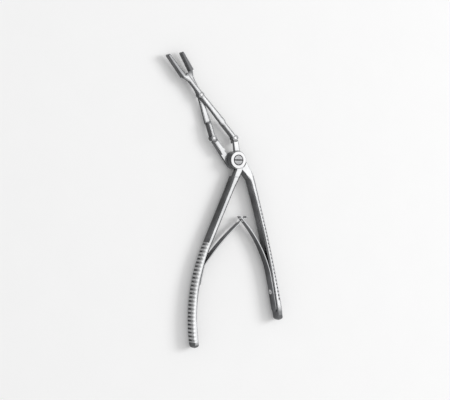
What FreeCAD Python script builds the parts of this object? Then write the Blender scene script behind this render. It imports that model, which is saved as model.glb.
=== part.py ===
import FreeCAD, Part
import math
import os

import Sketcher

# Septum compression forceps, lying flat, in millimetres.
# The origin is on the rest plane under the main pivot, +Y points from the grips to the jaws,
# and every piece is drawn about the mid plane of the instrument, half a grip above the rest plane.

Vector = FreeCAD.Vector
doc = FreeCAD.newDocument("SeptumForceps")

# Driving dimensions, each written once. Lengths are in millimetres and angles in degrees.
SIZES = (
    # heights of the pieces across the plane of the instrument
    ("grip_width", 8.8), ("joint_width", 7.2), ("lever_width", 4.6),
    # main pivot
    ("boss_radius", 6.2), ("lap_radius", 11.6), ("lap_gap", 0.2), ("screw_radius", 2.2),
    ("screw_head_radius", 3.3), ("screw_head_height", 0.9), ("slot_width", 0.8), ("slot_depth", 0.5),
    ("collar_radius", 5.9), ("collar_height", 0.9), ("collar_gap", 0.15), ("run_gap", 0.05),
    ("seat_gap", 0.02), ("nut_radius", 4.0), ("screw_end", 0.4), ("rim_edge", 0.25),
    # grips: where each one leaves the pivot, where it starts to curve, and how it curves
    ("grip_thickness", 3.4), ("root_thickness", 5.8), ("neck_thickness", 3.9),
    ("left_root_x", 3.0), ("left_root_y", -3.0), ("left_neck_x", -4.2), ("left_neck_y", -18.5),
    ("left_bend_x", -22.0), ("left_bend_y", -57.0), ("left_grip_radius", 118.0),
    ("left_grip_length", 71.0),
    ("right_root_x", 2.0), ("right_root_y", 0.5), ("right_neck_x", 10.8), ("right_neck_y", -12.0),
    ("right_bend_x", 15.4), ("right_bend_y", -28.0), ("right_grip_radius", 700.0),
    ("right_grip_length", 84.0),
    ("grip_edge", 0.8),
    # cross grooves of the grips
    ("groove_pitch", 2.6), ("groove_count", 26), ("groove_radius", 0.75), ("groove_depth", 0.4),
    ("left_groove_start", 0.5), ("right_groove_start", 4.0),
    # link pins: the forked ends of the jaws turn on the tongues of the handles
    ("long_link_x", -1.2), ("long_link_y", 15.0), ("short_link_x", -17.4), ("short_link_y", 14.6),
    ("knuckle_radius", 2.1), ("pin_radius", 0.9), ("tongue_thickness", 2.0), ("tongue_gap", 0.1),
    ("link_gap", 0.35), ("arm_thickness", 4.2),
    ("long_arm_root_x", 0.8), ("long_arm_root_y", 2.5), ("short_arm_root_x", -3.2),
    ("short_arm_root_y", -3.6), ("arm_tip_thickness", 3.2),
    # jaws: crossing pin, levers, necks and blades
    ("cross_x", -27.0), ("cross_y", 43.5), ("cross_boss_radius", 2.1), ("cross_clearance", 0.3),
    ("lever_thickness", 2.8), ("long_shoulder", 24.0), ("short_shoulder", 19.5),
    ("lap_plate_thickness", 4.2), ("neck_half_width", 1.5), ("lever_edge", 0.4),
    ("blade_start", 17.0), ("blade_root", 4.0), ("blade_root_gap", 0.5),
    ("long_blade_reach", 35.6), ("short_blade_reach", 31.4),
    ("blade_thickness", 2.9), ("blade_tip_thickness", 2.0), ("blade_gap", 0.5),
    ("long_blade_angle", 41.0), ("jaw_opening", 11.8), ("blade_edge", 0.5),
    ("tooth_pitch", 1.2), ("tooth_count", 10), ("tooth_radius", 0.3), ("tooth_depth", 0.18),
    # leaf springs
    ("spring_thickness", 0.8), ("spring_width", 6.6), ("spring_tip_width", 4.4),
    ("spring_cross_x", 4.9), ("spring_cross_y", -40.6),
    ("left_foot_length", 15.0), ("left_takeoff", 14.0), ("left_bow", 1.4),
    ("right_foot_length", 28.0), ("right_takeoff", 50.0), ("right_bow", 2.6),
    ("spring_seat", 0.03), ("spring_overrun", 3.2), ("tongue_width", 2.0), ("fork_gap", 0.3),
    ("hook_radius", 0.7),
    ("spring_screw_radius", 0.9), ("spring_screw_head", 1.7), ("spring_screw_height", 0.8),
    ("left_screw_place", 9.0), ("right_screw_place", 13.6), ("spring_screw_depth", 2.0),
    ("slot_length", 4.0), ("tongue_length", 3.4), ("fork_length", 2.2),
)

sheet = doc.addObject("Spreadsheet::Sheet", "Sizes")
for row, (alias, number) in enumerate(SIZES, start=1):
    sheet.set("A%d" % row, alias)
    sheet.set("B%d" % row, str(number))
    sheet.setAlias("B%d" % row, alias)
doc.recompute()


def size(alias):
    return float(sheet.get(alias))


MID_HEIGHT = size("grip_width") / 2
MARGIN = 1.0
SAME_POINT = 1e-4


def spot(name):
    """A named place of the plan."""
    return Vector(size(name + "_x"), size(name + "_y"), 0)


def heading(degrees):
    """A direction at an angle from +Y, positive towards -X."""
    angle = math.radians(degrees)
    return Vector(-math.sin(angle), math.cos(angle), 0)


def turned(vector, radians):
    cosine, sine = math.cos(radians), math.sin(radians)
    return Vector(cosine * vector.x - sine * vector.y, sine * vector.x + cosine * vector.y, 0)


def left_of(direction):
    return Vector(-direction.y, direction.x, 0)


def unit(vector):
    return vector * (1.0 / vector.Length)


# Helpers for bodies, sketches and features

def new_body(label, place=None):
    body = doc.addObject("PartDesign::Body", label)
    body.Label = label
    body.Placement = place or FreeCAD.Placement(Vector(0, 0, MID_HEIGHT), FreeCAD.Rotation())
    return body


def new_sketch(body, role="XY_Plane", place=None):
    """A sketch on one of the body's own origin planes, moved by place."""
    sketch = body.newObject("Sketcher::SketchObject", body.Name + "_sketch")
    plane = [item for item in body.Origin.OriginFeatures if item.Role == role][0]
    sketch.AttachmentSupport = [(plane, "")]
    sketch.MapMode = "FlatFace"
    if place is not None:
        sketch.AttachmentOffset = place
    return sketch


def raised(height):
    return FreeCAD.Placement(Vector(0, 0, height), FreeCAD.Rotation())


def draw(sketch, edges):
    """Adds a closed outline and ties each edge to the next."""
    first = sketch.GeometryCount
    for edge in edges:
        sketch.addGeometry(edge, False)
    for step in range(len(edges)):
        here, there = first + step, first + (step + 1) % len(edges)
        ends = [(a, b) for a in (1, 2) for b in (1, 2)
                if sketch.getPoint(here, a).distanceToPoint(sketch.getPoint(there, b)) < SAME_POINT]
        a, b = ends[0]
        sketch.addConstraint(Sketcher.Constraint("Coincident", here, a, there, b))


def circle(sketch, centre, radius):
    """A circle whose radius is bound to an expression of the sheet."""
    index = sketch.addGeometry(Part.Circle(centre, Vector(0, 0, 1), 1.0), False)
    sketch.addConstraint(Sketcher.Constraint("DistanceX", -1, 1, index, 3, centre.x))
    sketch.addConstraint(Sketcher.Constraint("DistanceY", -1, 1, index, 3, centre.y))
    rule = sketch.addConstraint(Sketcher.Constraint("Radius", index, 1.0))
    sketch.setExpression("Constraints[%d]" % rule, bound(radius))


def bound(text):
    """An expression of the sheet, in which every word is an alias."""
    words = [alias for alias, number in SIZES]
    parts = text.replace("(", " ( ").replace(")", " ) ").split()
    return " ".join("Sizes." + part if part in words else part for part in parts)


def pad(body, sketch, length, middle=True, down=False):
    feature = body.newObject("PartDesign::Pad", body.Name + "_pad")
    feature.Profile = sketch
    feature.setExpression("Length", bound(length))
    feature.Midplane = middle
    feature.Reversed = down
    doc.recompute()
    return feature


def pocket(body, sketch, length=None, middle=False, up=False):
    """Cuts a sketch into the body and makes sure that it took something away."""
    before = body.Shape.Volume
    feature = body.newObject("PartDesign::Pocket", body.Name + "_pocket")
    feature.Profile = sketch
    if length is None:
        feature.Type = "ThroughAll"
    else:
        feature.setExpression("Length", bound(length))
    feature.Midplane = middle
    feature.Reversed = up
    doc.recompute()
    if body.Shape.Volume > before - 1e-3:
        raise ValueError("a pocket of %s cut nothing" % body.Label)
    return feature


def bevel_edges(body, width, wanted):
    """Bevels the edges for which wanted is true."""
    names = ["Edge%d" % (number + 1) for number, edge in enumerate(body.Shape.Edges) if wanted(edge)]
    if not names:
        raise ValueError("no edge to bevel on %s" % body.Label)
    base = body.Tip
    feature = body.newObject("PartDesign::Chamfer", body.Name + "_bevel")
    feature.Base = (base, names)
    feature.setExpression("Size", bound(width))
    doc.recompute()
    return feature


def local(body, point):
    """A point of a finished shape in the body's own frame."""
    return body.Placement.inverse().multVec(point)


# Outlines

def lines(points):
    return [Part.LineSegment(a, b) for a, b in zip(points, points[1:])]


def offsets(stations):
    """Both sides of a strip that follows its stations, each a point and a half width."""
    left, right = [], []
    for index, (point, half) in enumerate(stations):
        before = stations[max(index - 1, 0)][0]
        after = stations[min(index + 1, len(stations) - 1)][0]
        arriving = unit(point - before) if index > 0 else unit(after - point)
        leaving = unit(after - point) if index < len(stations) - 1 else arriving
        mitre = unit(left_of(arriving) + left_of(leaving))
        reach = half / mitre.dot(left_of(arriving))
        left.append(point + mitre * reach)
        right.append(point - mitre * reach)
    return left, right


def strip(stations, capped=False):
    """The closed outline of a strip, with a round far end where capped."""
    left, right = offsets(stations)
    end, half = stations[-1]
    along = unit(end - stations[-2][0])
    if capped:
        far = [Part.Arc(left[-1], end + along * half, right[-1])]
    else:
        far = lines([left[-1], right[-1]])
    return lines(left) + far + lines(right[::-1]) + lines([right[0], left[0]])


class GripLine:
    """The middle line of a grip: straight from neck to bend, then an arc towards the other grip."""

    def __init__(self, side, turn):
        self.turn = turn
        self.root = spot(side + "_root")
        self.neck = spot(side + "_neck")
        self.bend = spot(side + "_bend")
        self.radius = size(side + "_grip_radius")
        self.length = size(side + "_grip_length")
        self.start = unit(self.bend - self.neck)
        self.centre = self.bend + self.inward(0) * self.radius

    def along(self, distance):
        return turned(self.start, self.turn * max(distance, 0) / self.radius)

    def inward(self, distance):
        return left_of(self.along(distance)) * self.turn

    def point(self, distance, inset=0.0):
        """The point at a distance past the bend, moved towards the other grip by inset."""
        if distance < 0:
            return self.bend + self.start * distance + self.inward(0) * inset
        return self.centre - self.inward(distance) * (self.radius - inset)

    def arc(self, first, last, inset):
        middle = self.point((first + last) / 2, inset)
        return Part.Arc(self.point(first, inset), middle, self.point(last, inset))

    def outline(self):
        half = size("grip_thickness") / 2
        end = self.length - half
        stations = [(self.root, size("root_thickness") / 2), (self.neck, size("neck_thickness") / 2),
                    (self.bend, half)]
        left, right = offsets(stations)
        inner, outer = (left, right) if self.turn > 0 else (right, left)
        inner[-1], outer[-1] = self.point(0, half), self.point(0, -half)
        cap = Part.Arc(self.point(end, half), self.point(end) + self.along(end) * half,
                       self.point(end, -half))
        return (lines(inner) + [self.arc(0, end, half), cap, self.arc(end, 0, -half)]
                + lines(outer[::-1]) + lines([outer[0], inner[0]]))


left_line = GripLine("left", 1)
right_line = GripLine("right", -1)
PIVOT = Vector(0, 0, 0)
LONG_LINK = spot("long_link")
SHORT_LINK = spot("short_link")
CROSS = spot("cross")
SPRING_CROSS = spot("spring_cross")


def trim_to_taper(body, thin_y, thin_half, full_y, full_half):
    """Cuts the upper and lower side down to a straight taper along Y."""
    sketch = new_sketch(body, "YZ_Plane")
    for sign in (1, -1):
        corners = [(thin_y, thin_half), (full_y, full_half), (thin_y, full_half + MARGIN)]
        points = [Vector(y, sign * z, 0) for y, z in corners]
        draw(sketch, lines(points + points[:1]))
    return pocket(body, sketch, middle=True)


def round_tip(body, line):
    """Cuts the far end of a grip to a half circle, seen from the other grip."""
    half = size("grip_width") / 2
    distance = line.length - half
    along = line.along(distance)
    facing = FreeCAD.Rotation(along, Vector(0, 0, 1), left_of(along) * -1, "XYZ")
    sketch = new_sketch(body, place=FreeCAD.Placement(line.point(distance), facing))
    far = half + MARGIN
    corners = [Vector(0, half, 0), Vector(0, far, 0), Vector(far, far, 0), Vector(far, -far, 0),
               Vector(0, -far, 0), Vector(0, -half, 0)]
    draw(sketch, lines(corners) + [Part.Arc(corners[-1], Vector(half, 0, 0), corners[0])])
    pocket(body, sketch, middle=True)


# Handles: a grip, a boss with half its height cut away, and an arm that ends in a tongue

def handle(label, line, arm_root, link, upper):
    body = new_body(label)
    grip = new_sketch(body)
    draw(grip, line.outline())
    pad(body, grip, "grip_width")
    trim_to_taper(body, size("boss_radius"), size("joint_width") / 2,
                  line.point(line.length).y - MARGIN, size("grip_width") / 2)

    def long_edge(edge):
        ends = [local(body, vertex.Point) for vertex in edge.Vertexes]
        outside = all(abs(end.z) > size("joint_width") / 2 for end in ends)
        upright = ends[0].z * ends[-1].z < 0
        return outside and not upright and all(end.y < line.neck.y + MARGIN for end in ends)

    bevel_edges(body, "grip_edge", long_edge)
    round_tip(body, line)
    for side in (1, -1):
        flat = new_sketch(body, place=raised(side * size("joint_width") / 2))
        circle(flat, PIVOT, "lap_radius")
        pocket(body, flat, up=side > 0)
    boss = new_sketch(body)
    circle(boss, PIVOT, "boss_radius")
    pad(body, boss, "joint_width")
    arm = new_sketch(body)
    draw(arm, strip([(arm_root, size("arm_thickness") / 2), (link, size("arm_tip_thickness") / 2)]))
    pad(body, arm, "lever_width")
    knuckle = new_sketch(body)
    circle(knuckle, link, "knuckle_radius")
    pad(body, knuckle, "lever_width")

    sign = 1 if upper else -1
    lap = new_sketch(body, place=raised(sign * size("lap_gap") / 2))
    circle(lap, PIVOT, "lap_radius")
    pocket(body, lap, up=not upper)
    for side in (1, -1):
        ear_room = new_sketch(body, place=raised(side * size("tongue_thickness") / 2))
        circle(ear_room, link, "knuckle_radius + link_gap")
        pocket(body, ear_room, up=side > 0)
    pin_hole = new_sketch(body)
    circle(pin_hole, link, "pin_radius + run_gap")
    pocket(body, pin_hole, middle=True)
    bore = new_sketch(body)
    circle(bore, PIVOT, "screw_radius + run_gap")
    pocket(body, bore, middle=True)
    return body


def cut_grooves(body, line, start):
    """Cross grooves on the outer face of a grip."""
    sketch = new_sketch(body)
    outset = size("grip_thickness") / 2 + size("groove_radius") - size("groove_depth")
    for number in range(int(size("groove_count"))):
        centre = line.point(start + number * size("groove_pitch"), -outset)
        circle(sketch, centre, "groove_radius")
    pocket(body, sketch, middle=True)


def screw_place(line, distance, inset):
    """Where a spring screw stands: on the inner side of a grip, with Z towards the other grip."""
    outward = FreeCAD.Rotation(Vector(0, 0, 1), line.inward(distance))
    return FreeCAD.Placement(line.point(distance, inset), outward)


def cut_screw_hole(body, line, distance):
    sketch = new_sketch(body, place=screw_place(line, distance, size("grip_thickness") / 2))
    circle(sketch, PIVOT, "spring_screw_radius + seat_gap")
    pocket(body, sketch, "spring_screw_depth + run_gap")


left_screw_at = size("left_takeoff") + size("left_screw_place")
right_screw_at = size("right_takeoff") + size("right_screw_place")

left_handle = handle("left_handle", left_line, spot("long_arm_root"), LONG_LINK, True)
cut_grooves(left_handle, left_line, size("left_groove_start"))
cut_screw_hole(left_handle, left_line, left_screw_at)

right_handle = handle("right_handle", right_line, spot("short_arm_root"), SHORT_LINK, False)
cut_grooves(right_handle, right_line, size("right_groove_start"))
cut_screw_hole(right_handle, right_line, right_screw_at)


# Jaws: a forked knuckle, a lever, half a lap at the crossing pin, and a blade

class Blade:
    """One blade, measured along and to the side of a line through the crossing pin."""

    def __init__(self, degrees, side, reach):
        self.ahead = heading(degrees)
        self.beside = left_of(self.ahead) * side
        self.reach = reach

    def at(self, ahead, beside):
        return CROSS + self.ahead * ahead + self.beside * beside

    def outline(self, first, first_width):
        """From first to the round tip, as wide as first_width where it starts."""
        inner = size("blade_gap") / 2
        radius = size("blade_tip_thickness") / 2
        shoulder = self.at(max(first, size("blade_start")), inner + size("blade_thickness"))
        end = self.reach - radius
        tip = Part.Arc(self.at(end, inner), self.at(self.reach, inner + radius),
                       self.at(end, inner + 2 * radius))
        back = [self.at(end, inner + 2 * radius), shoulder]
        if first_width < size("blade_thickness"):
            back.append(self.at(first, inner + first_width))
        return (lines([self.at(first, inner), self.at(end, inner)]) + [tip]
                + lines(back + [self.at(first, inner)]))


def jaw(label, link, shoulder, blade, upper, cross_gap):
    body = new_body(label)
    sign = 1 if upper else -1
    half_height = "(lever_width - lap_gap) / 2"
    back = unit(link - CROSS)
    turn_point = CROSS + back * shoulder

    def half_pad(edges):
        sketch = new_sketch(body, place=raised(sign * size("lap_gap") / 2))
        draw(sketch, edges)
        pad(body, sketch, half_height, middle=False, down=not upper)

    lever = new_sketch(body)
    draw(lever, strip([(link, size("lever_thickness") / 2), (turn_point, size("lever_thickness") / 2)]))
    pad(body, lever, "lever_width")
    knuckle = new_sketch(body)
    circle(knuckle, link, "knuckle_radius")
    pad(body, knuckle, "lever_width")
    half_pad(strip([(turn_point + back * size("lever_thickness") / 2, size("lever_thickness") / 2),
                    (turn_point, size("lap_plate_thickness") / 2),
                    (CROSS, size("neck_half_width"))]))
    boss = new_sketch(body, place=raised(sign * size("lap_gap") / 2))
    circle(boss, CROSS, "cross_boss_radius")
    pad(body, boss, half_height, middle=False, down=not upper)
    half_pad(strip([(CROSS, size("neck_half_width")),
                    (blade.at(size("blade_start"), 0), size("neck_half_width"))]))
    half_pad(blade.outline(size("blade_start") - size("blade_root"),
                           size("neck_half_width") - size("blade_gap") / 2))
    full = new_sketch(body)
    draw(full, blade.outline(size("blade_start") + size("blade_root_gap"), size("blade_thickness")))
    pad(body, full, "lever_width")

    def rim_places(edge):
        """Places along the blade of a straight edge's ends, if it lies on the upper or lower side."""
        ends = [local(body, vertex.Point) for vertex in edge.Vertexes]
        on_side = all(abs(abs(end.z) - size("lever_width") / 2) < SAME_POINT for end in ends)
        straight = edge.Curve.TypeId == "Part::GeomLine"
        return [(end - CROSS).dot(blade.ahead) for end in ends] if on_side and straight else []

    def lever_rim(edge):
        places = rim_places(edge)
        return places and max(places) < MARGIN and edge.Length > 2 * size("lever_width")

    def blade_rim(edge):
        places = rim_places(edge)
        outer = [(local(body, vertex.Point) - CROSS).dot(blade.beside) > size("blade_thickness") / 2
                 for vertex in edge.Vertexes]
        return places and all(outer) and edge.Length > 2 * size("lever_width")

    bevel_edges(body, "lever_edge", lever_rim)
    bevel_edges(body, "blade_edge", blade_rim)
    fork = new_sketch(body)
    circle(fork, link, "knuckle_radius + link_gap")
    pocket(body, fork, "tongue_thickness + 2 * tongue_gap", middle=True)
    link_hole = new_sketch(body)
    circle(link_hole, link, "pin_radius + seat_gap")
    pocket(body, link_hole, middle=True)
    cross_hole = new_sketch(body)
    circle(cross_hole, CROSS, "pin_radius + " + cross_gap)
    pocket(body, cross_hole, middle=True)
    teeth = new_sketch(body)
    first = blade.reach - size("tooth_pitch") * size("tooth_count")
    depth = size("blade_gap") / 2 + size("tooth_depth") - size("tooth_radius")
    for number in range(int(size("tooth_count"))):
        circle(teeth, blade.at(first + number * size("tooth_pitch"), depth), "tooth_radius")
    pocket(body, teeth, middle=True)
    return body


long_blade = Blade(size("long_blade_angle"), 1, size("long_blade_reach"))
short_blade = Blade(size("long_blade_angle") - size("jaw_opening"), -1, size("short_blade_reach"))
long_jaw = jaw("long_jaw", LONG_LINK, size("long_shoulder"), long_blade, True, "seat_gap")
short_jaw = jaw("short_jaw", SHORT_LINK, size("short_shoulder"), short_blade, False, "cross_clearance")


# Pins of the links and of the crossing

def pin(label, place):
    body = new_body(label)
    sketch = new_sketch(body)
    circle(sketch, place, "pin_radius")
    pad(body, sketch, "lever_width")
    return body


pin("long_jaw_pin", LONG_LINK)
pin("short_jaw_pin", SHORT_LINK)
pin("jaw_pin", CROSS)


# Main pivot: a ring around the head of a slotted screw, and a closed nut underneath

def disc(body, radius, height, length, down=False, hole=None):
    """A disc on the pivot axis that starts at a height of the body."""
    sketch = new_sketch(body, place=raised(height))
    circle(sketch, PIVOT, radius)
    if hole is not None:
        circle(sketch, PIVOT, hole)
    pad(body, sketch, length, middle=False, down=down)


def rim(body, height):
    """Edges that lie at a height of the body."""
    def wanted(edge):
        return all(abs(local(body, vertex.Point).z - height) < SAME_POINT for vertex in edge.Vertexes)
    return wanted


def cut_slot(body, height, length):
    """The driver slot of a screw head."""
    half_length, half_width = length / 2, size("slot_width") / 2
    corners = [Vector(x * half_length, y * half_width, 0) for x, y in ((-1, -1), (1, -1), (1, 1), (-1, 1))]
    slot = new_sketch(body, place=raised(height))
    draw(slot, lines(corners + corners[:1]))
    pocket(body, slot, "slot_depth")


JOINT_TOP = size("joint_width") / 2

collar = new_body("pivot_collar")
disc(collar, "collar_radius", JOINT_TOP, "collar_height", hole="screw_head_radius + collar_gap")
bevel_edges(collar, "rim_edge", rim(collar, JOINT_TOP + size("collar_height")))

screw = new_body("pivot_screw")
disc(screw, "screw_head_radius", JOINT_TOP, "screw_head_height")
bevel_edges(screw, "rim_edge", rim(screw, JOINT_TOP + size("screw_head_height")))
disc(screw, "screw_radius", JOINT_TOP, "joint_width + screw_end", down=True)
cut_slot(screw, JOINT_TOP + size("screw_head_height"), size("screw_head_radius") * 3)

nut = new_body("pivot_nut")
disc(nut, "nut_radius", -JOINT_TOP, "(grip_width - joint_width) / 2", down=True)
bevel_edges(nut, "rim_edge", rim(nut, -MID_HEIGHT))
screw_room = new_sketch(nut, place=raised(-JOINT_TOP))
circle(screw_room, PIVOT, "screw_radius + seat_gap")
pocket(nut, screw_room, "screw_end + run_gap")


# Leaf springs: a foot along the grip, a bowed leaf, and ends that pass through each other

def leaf_arcs(start, end, bow, beyond):
    """Both faces of a bowed leaf with an even thickness, and the middle of its end."""
    chord = end - start
    middle = (start + end) * 0.5 + left_of(unit(chord)) * bow
    ring = Part.Arc(start, middle, end).toShape().Curve
    centre, radius = ring.Center, ring.Radius
    sense = -1 if bow > 0 else 1
    sweep = 2 * math.asin(chord.Length / (2 * radius)) + beyond / radius
    faces = []
    for side in (1, -1):
        from_centre = unit(start - centre) * (radius + side * size("spring_thickness") / 2)
        faces.append([centre + turned(from_centre, sense * sweep * part) for part in (0, 0.5, 1)])
    return faces, centre + turned(start - centre, sense * sweep)


def spring(label, line, takeoff, foot, bow):
    body = new_body(label)
    seat = size("grip_thickness") / 2 + size("spring_seat")
    thickness = size("spring_thickness")
    foot_sketch = new_sketch(body)
    draw(foot_sketch, [line.arc(takeoff, takeoff + foot, seat),
                       Part.LineSegment(line.point(takeoff + foot, seat),
                                        line.point(takeoff + foot, seat + thickness)),
                       line.arc(takeoff + foot, takeoff, seat + thickness),
                       Part.LineSegment(line.point(takeoff, seat + thickness), line.point(takeoff, seat))])
    pad(body, foot_sketch, "spring_width")
    root = line.point(takeoff, seat + thickness / 2)
    heel = new_sketch(body)
    circle(heel, root, "spring_thickness / 2")
    pad(body, heel, "spring_width")
    (outer, inner), end = leaf_arcs(root, SPRING_CROSS, bow * line.turn, size("spring_overrun"))
    leaf = new_sketch(body)
    draw(leaf, [Part.Arc(*outer), Part.LineSegment(outer[2], inner[2]),
                Part.Arc(*inner[::-1]), Part.LineSegment(inner[0], outer[0])])
    pad(body, leaf, "spring_width")
    trim_to_taper(body, SPRING_CROSS.y + 2 * size("spring_overrun"), size("spring_tip_width") / 2,
                  root.y, size("spring_width") / 2)
    return body, end


def cut_foot_hole(body, line, distance):
    inset = size("grip_thickness") / 2 + size("spring_seat") + size("spring_thickness") / 2
    sketch = new_sketch(body, place=screw_place(line, distance, inset))
    circle(sketch, PIVOT, "spring_screw_radius + seat_gap")
    pocket(body, sketch, "2 * spring_thickness", middle=True)


left_spring, hook_place = spring("left_spring", left_line, size("left_takeoff"),
                                 size("left_foot_length"), size("left_bow"))
cut_foot_hole(left_spring, left_line, left_screw_at)
for side in (1, -1):
    beside_tongue = new_sketch(left_spring, place=raised(side * size("tongue_width") / 2))
    circle(beside_tongue, SPRING_CROSS, "tongue_length")
    pocket(left_spring, beside_tongue, up=side > 0)
hook = new_sketch(left_spring)
circle(hook, hook_place, "hook_radius")
pad(left_spring, hook, "spring_tip_width")

right_spring, right_end = spring("right_spring", right_line, size("right_takeoff"),
                                 size("right_foot_length"), size("right_bow"))
cut_foot_hole(right_spring, right_line, right_screw_at)
fork_room = new_sketch(right_spring)
circle(fork_room, SPRING_CROSS, "fork_length")
pocket(right_spring, fork_room, "tongue_width + 2 * fork_gap", middle=True)


# Screws that hold the feet of the springs

def spring_screw(label, line, distance):
    inset = size("grip_thickness") / 2 + size("spring_thickness") + 2 * size("spring_seat")
    place = screw_place(line, distance, inset)
    place.Base.z = MID_HEIGHT
    body = new_body(label, place)
    disc(body, "spring_screw_head", 0, "spring_screw_height")
    bevel_edges(body, "rim_edge", rim(body, size("spring_screw_height")))
    disc(body, "spring_screw_radius", 0, "spring_thickness + spring_screw_depth", down=True)
    cut_slot(body, size("spring_screw_height"), size("slot_length"))
    return body


spring_screw("left_spring_screw", left_line, left_screw_at)
spring_screw("right_spring_screw", right_line, right_screw_at)


# Every object must be sound before the pieces are written
doc.recompute()
for item in doc.Objects:
    if "Invalid" in item.State or "Error" in item.State:
        raise ValueError("%s did not build" % item.Label)
bodies = [item for item in doc.Objects if item.TypeId == "PartDesign::Body"]
os.makedirs("parts", exist_ok=True)
for body in bodies:
    if body.Shape.isNull() or not body.Shape.isValid() or len(body.Shape.Solids) != 1:
        raise ValueError("%s is not one sound solid" % body.Label)
    box = body.Shape.BoundBox
    print(body.Label, "volume %.1f" % body.Shape.Volume, "from %.1f %.1f %.1f to %.1f %.1f %.1f" % (
        box.XMin, box.YMin, box.ZMin, box.XMax, box.YMax, box.ZMax))
    body.Shape.exportStep("parts/%s.step" % body.Label)
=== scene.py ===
# %% [markdown]
# # Septum compression forceps
# The instrument lies on its side on a pale table. Two grips cross at a large pivot, and their
# short ends push the crossed jaws together, so a light squeeze moves the blades evenly.
# The rigid metal pieces come from the construction model. Here they get their polished steel,
# and the two leaf springs are modelled again as thin strips.

# %% Load the construction model
import bpy
import math
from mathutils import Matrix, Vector


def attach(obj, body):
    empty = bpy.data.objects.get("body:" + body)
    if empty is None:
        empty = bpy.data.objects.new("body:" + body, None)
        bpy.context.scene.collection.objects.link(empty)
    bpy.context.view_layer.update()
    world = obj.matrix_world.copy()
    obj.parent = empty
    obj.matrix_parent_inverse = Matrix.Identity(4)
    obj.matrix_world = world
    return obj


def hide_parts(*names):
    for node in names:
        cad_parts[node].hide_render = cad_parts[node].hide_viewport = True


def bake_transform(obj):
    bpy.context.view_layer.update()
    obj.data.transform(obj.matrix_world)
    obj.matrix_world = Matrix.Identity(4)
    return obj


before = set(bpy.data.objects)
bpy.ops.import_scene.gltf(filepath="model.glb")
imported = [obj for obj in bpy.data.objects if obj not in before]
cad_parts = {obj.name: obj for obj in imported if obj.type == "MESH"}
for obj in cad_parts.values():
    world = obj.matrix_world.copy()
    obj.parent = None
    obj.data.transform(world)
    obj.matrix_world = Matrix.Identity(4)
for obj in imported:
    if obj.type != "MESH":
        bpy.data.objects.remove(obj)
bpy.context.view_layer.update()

MM = 0.001
print("pieces:", sorted(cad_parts))

# %% [markdown]
# ## A clean start for every operator
# Blender's operators act on whatever is selected, and the loaded pieces arrive selected.
# These small helpers leave nothing selected, and pick the working piece by name.

# %% Selection helpers
def leave_all():
    if bpy.context.object and bpy.context.object.mode != "OBJECT":
        bpy.ops.object.mode_set(mode="OBJECT")
    bpy.ops.object.select_all(action="DESELECT")


def work_on(piece):
    leave_all()
    piece.select_set(True)
    bpy.context.view_layer.objects.active = piece


def apply_modifier(piece, kind, **settings):
    work_on(piece)
    modifier = piece.modifiers.new(kind.title(), kind)
    for name, value in settings.items():
        setattr(modifier, name, value)
    bpy.ops.object.modifier_apply(modifier=modifier.name)


leave_all()
print("selected:", len(bpy.context.selected_objects))

# %% [markdown]
# ## Choosing points, faces and everything
# Edit mode works on what is selected there. Picking by place or by normal in code does what a
# mouse does in the window: the choice is made in object mode and is used back in edit mode.

# %% Pick parts of a mesh
def edit_all(piece):
    work_on(piece)
    bpy.ops.object.mode_set(mode="EDIT")
    bpy.ops.mesh.select_all(action="SELECT")


def pick(piece, kind, wanted):
    """Goes into edit mode with the points or faces selected for which wanted is true."""
    work_on(piece)
    bpy.ops.object.mode_set(mode="EDIT")
    bpy.ops.mesh.select_mode(type=kind)
    bpy.ops.mesh.select_all(action="DESELECT")
    bpy.ops.object.mode_set(mode="OBJECT")
    for part in (piece.data.vertices if kind == "VERT" else piece.data.polygons):
        part.select = bool(wanted(part))
    bpy.ops.object.mode_set(mode="EDIT")


def span(piece):
    low = [round(min(v.co[i] for v in piece.data.vertices) / MM, 1) for i in range(3)]
    high = [round(max(v.co[i] for v in piece.data.vertices) / MM, 1) for i in range(3)]
    return low, high


print("left handle spans, in mm:", span(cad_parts["left_handle"]))

# %% [markdown]
# ## Short words for shader nodes
# Every material here is a small net of nodes. It could be clicked together in the Shader Editor, but
# in code one recipe serves many materials. These helpers make one node with its inputs in one line:
# an input that is another node's socket gets a link, and any other input is a plain value.

# %% One node, and sums with numbers and vectors
def add_node(tree, kind, inputs, **settings):
    """Makes a node, sets what it is, and then fills or links its inputs."""
    node = tree.nodes.new(kind)
    for name, value in settings.items():
        setattr(node, name, value)
    for name, value in inputs.items():
        if isinstance(value, bpy.types.NodeSocket):
            tree.links.new(value, node.inputs[name])
        else:
            node.inputs[name].default_value = value
    return node


def compute(tree, operation, *operands):
    """A Math node. Its inputs are filled in order."""
    inputs = dict(enumerate(operands))
    return add_node(tree, "ShaderNodeMath", inputs, operation=operation).outputs["Value"]


def vector(tree, operation, *operands):
    """A Vector Math node. It gives Vector or Value, by its operation."""
    inputs = dict(enumerate(operands))
    return add_node(tree, "ShaderNodeVectorMath", inputs, operation=operation).outputs


print("helpers for single nodes:", [helper.__name__ for helper in (add_node, compute, vector)])

# %% Fades, mixes and tones
def fade(tree, value, low, high, to_low=0.0, to_high=1.0, curve="LINEAR"):
    """Turns a value from low to high into one from to_low to to_high."""
    limits = {"Value": value, "From Min": low, "From Max": high, "To Min": to_low, "To Max": to_high}
    return add_node(tree, "ShaderNodeMapRange", limits, interpolation_type=curve).outputs["Result"]


def mix_colour(tree, mask, under, over):
    """Shows the colour over where the mask is 1, and the colour under where it is 0."""
    inputs = {"Factor": mask, "A": under, "B": over}
    return add_node(tree, "ShaderNodeMix", inputs, data_type="RGBA").outputs["Result"]


def two_tones(tree, value, low, low_tone, high, high_tone):
    """A colour ramp from one tone to another."""
    ramp = add_node(tree, "ShaderNodeValToRGB", {"Fac": value})
    for end, place, tone in zip(ramp.color_ramp.elements, (low, high), (low_tone, high_tone)):
        end.position, end.color = place, tone
    return ramp.outputs["Color"]


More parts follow.
